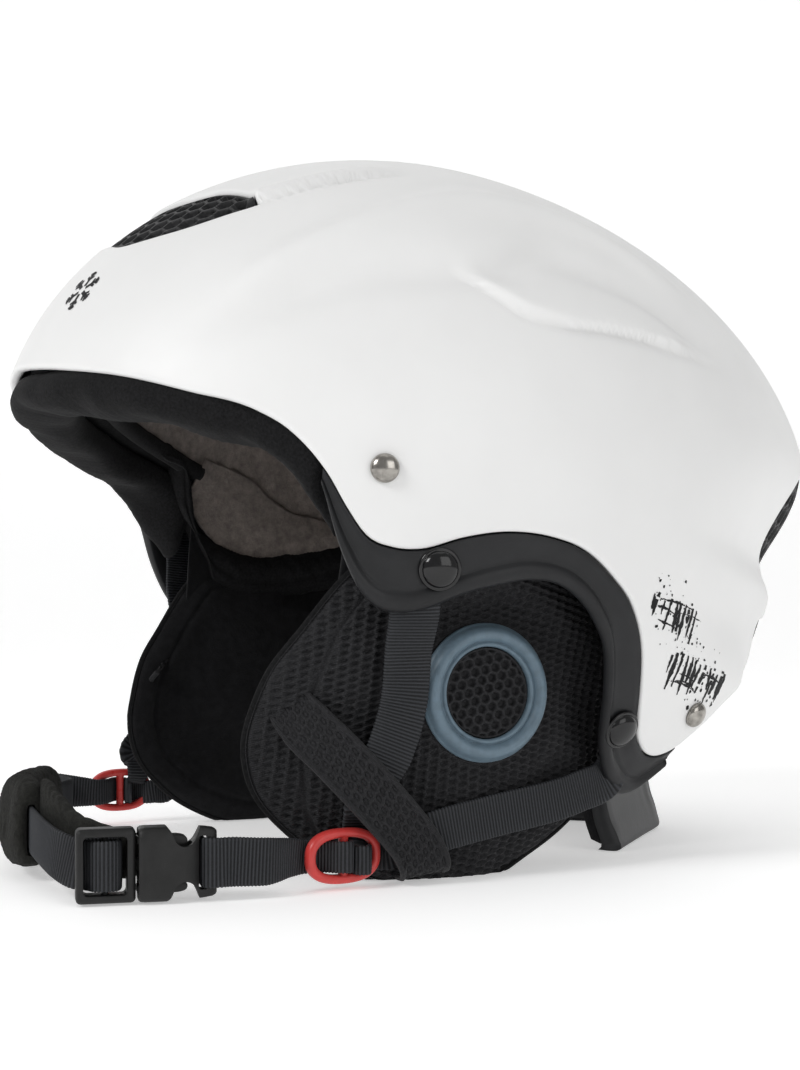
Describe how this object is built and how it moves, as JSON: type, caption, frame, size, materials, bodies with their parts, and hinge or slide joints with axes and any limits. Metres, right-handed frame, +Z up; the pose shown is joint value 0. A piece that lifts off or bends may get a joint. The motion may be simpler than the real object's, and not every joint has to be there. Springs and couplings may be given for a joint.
{
  "type": "ski helmet",
  "caption": "Hard-shell ski helmet with soft ear pads, padded lining, brow and rear vents, and a webbing harness closed under the chin by a side-release buckle.",
  "frame": {"origin": "on the table, under the middle of the bounding box", "axes": "+Z up, the brow faces -Y, the wearer's left is +X"},
  "size_m": [0.2138, 0.2779, 0.2205],
  "materials": {
    "shell_white": "matt white lacquer",
    "grille_black": "matt, cellular",
    "trim_black": "satin",
    "foam_dark": "moulded bead foam",
    "fleece_taupe": "brushed fleece",
    "knit_black": "knitted",
    "mesh_black": "spacer mesh",
    "fleece_black": "brushed fleece",
    "ring_grey": "satin moulded rubber",
    "webbing_grey": "ribbed webbing",
    "loop_black": "woven tape",
    "divider_red": "moulded",
    "buckle_black": "moulded, fine grain",
    "chrome": "polished",
    "snap_black": "glossy",
    "nape_grey": "smooth coated fabric"
  },
  "bodies": {
    "helmet": {"outer_shell": "shell_white", "front_vent_grille": "grille_black", "rear_upper_vent_grille": "grille_black", "rear_lower_vent_grille": "grille_black", "lower_trim_left": "trim_black", "lower_trim_right": "trim_black", "eps_liner": "foam_dark", "comfort_liner": "fleece_taupe", "brow_band": "knit_black", "nape_pad": "nape_grey", "nape_pad_lining": "fleece_black", "strap_rivet_front_left": "chrome", "snap_cap_front_left": "snap_black", "strap_front_left": "webbing_grey", "strap_rivet_front_right": "chrome", "snap_cap_front_right": "snap_black", "strap_front_right": "webbing_grey", "strap_rivet_rear_left": "chrome", "snap_cap_rear_left": "snap_black", "strap_rear_left": "webbing_grey", "strap_rivet_rear_right": "chrome", "snap_cap_rear_right": "snap_black", "strap_rear_right": "webbing_grey", "ear_pad_left": "mesh_black", "ear_pad_lining_left": "fleece_black", "ear_ring_left": "ring_grey", "ear_mesh_left": "mesh_black", "strap_loop_left": "loop_black", "strap_divider_left": "divider_red", "ear_pad_right": "mesh_black", "ear_pad_lining_right": "fleece_black", "ear_ring_right": "ring_grey", "ear_mesh_right": "mesh_black", "strap_loop_right": "loop_black", "strap_divider_right": "divider_red"},
    "chin_strap": {"chin_webbing_left": "webbing_grey", "chin_webbing_right": "webbing_grey", "chin_pad": "fleece_black", "buckle_female": "buckle_black"},
    "buckle_clip": {"buckle_male": "buckle_black"},
    "prong_upper": {"buckle_prong_upper": "buckle_black"},
    "prong_lower": {"buckle_prong_lower": "buckle_black"}
  },
  "joints": [
    {"name": "chin_strap_swing", "type": "hinge", "parent": "helmet", "child": "chin_strap", "pos_m": [0.0825, -0.0632, 0.009], "axis": [-0.9905, -0.1362, 0.0186], "range_deg": [-20, 35]},
    {"name": "clip_release", "type": "slide", "parent": "chin_strap", "child": "buckle_clip", "axis": [-0.17, -0.9854, 0], "range_m": [0, 0.014]},
    {"name": "prong_upper_squeeze", "type": "hinge", "parent": "buckle_clip", "child": "prong_upper", "pos_m": [0.07894, -0.11395, 0.0163], "axis": [-0.9854, 0.17, 0], "range_deg": [0, 7], "stiffness_Nm_per_rad": 0.4},
    {"name": "prong_lower_squeeze", "type": "hinge", "parent": "buckle_clip", "child": "prong_lower", "pos_m": [0.07894, -0.11395, 0.0037], "axis": [0.9854, -0.17, 0], "range_deg": [0, 7], "stiffness_Nm_per_rad": 0.4}
  ]
}
